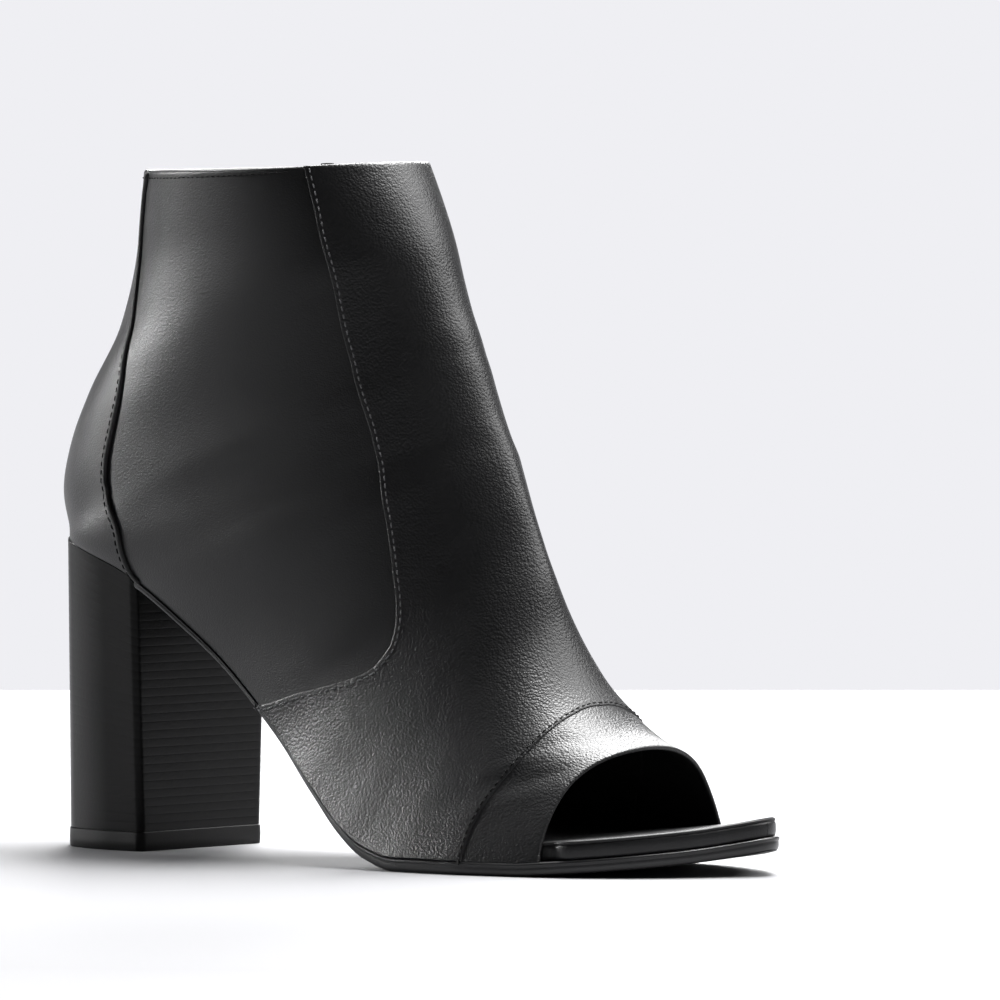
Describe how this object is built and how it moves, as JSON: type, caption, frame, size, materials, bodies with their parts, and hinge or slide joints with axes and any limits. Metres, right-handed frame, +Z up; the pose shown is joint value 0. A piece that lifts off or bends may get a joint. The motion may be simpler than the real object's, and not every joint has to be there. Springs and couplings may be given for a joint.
{
  "type": "peep toe ankle boot",
  "caption": "Black leather ankle boot for the right foot with an open peep toe, a stacked block heel, a stitched vamp and toe band and a zip on the inner side.",
  "frame": {"origin": "middle of the boot's box in X and Y, on the floor that it stands on", "axes": "+X points at the toe, +Y at the wearer's left, which is the inner side of this right boot, +Z up"},
  "size_m": [0.241, 0.0834, 0.1924],
  "materials": {
    "black_leather": "black calf leather, satin with a fine grain",
    "footbed_leather": "black leather lining over the insole board, soft satin",
    "sole_edge": "black dyed leather sole, edge inked and waxed",
    "heel_stack": "black stained stacked leather, polished",
    "heel_rubber": "hard black rubber, matt",
    "zip_tape": "black woven polyester tape",
    "zip_teeth": "black nylon coil",
    "zip_nickel": "bright nickel plate on zinc"
  },
  "bodies": {
    "boot": {"upper": "black_leather", "footbed": "footbed_leather", "outsole": "sole_edge", "heel_block": "heel_stack", "heel_top_piece": "heel_rubber", "zip_tape": "zip_tape", "zip_teeth": "zip_teeth", "zip_bottom_stop": "zip_nickel", "zip_slider": "zip_nickel"},
    "pull_tab": {"zip_pull": "zip_nickel"}
  },
  "joints": [
    {"name": "pull_tab_hinge", "type": "hinge", "parent": "boot", "child": "pull_tab", "pos_m": [-0.05767, 0.03285, 0.18992], "axis": [0.9763, 0.2022, 0.0764], "range_deg": [0, 165]}
  ]
}
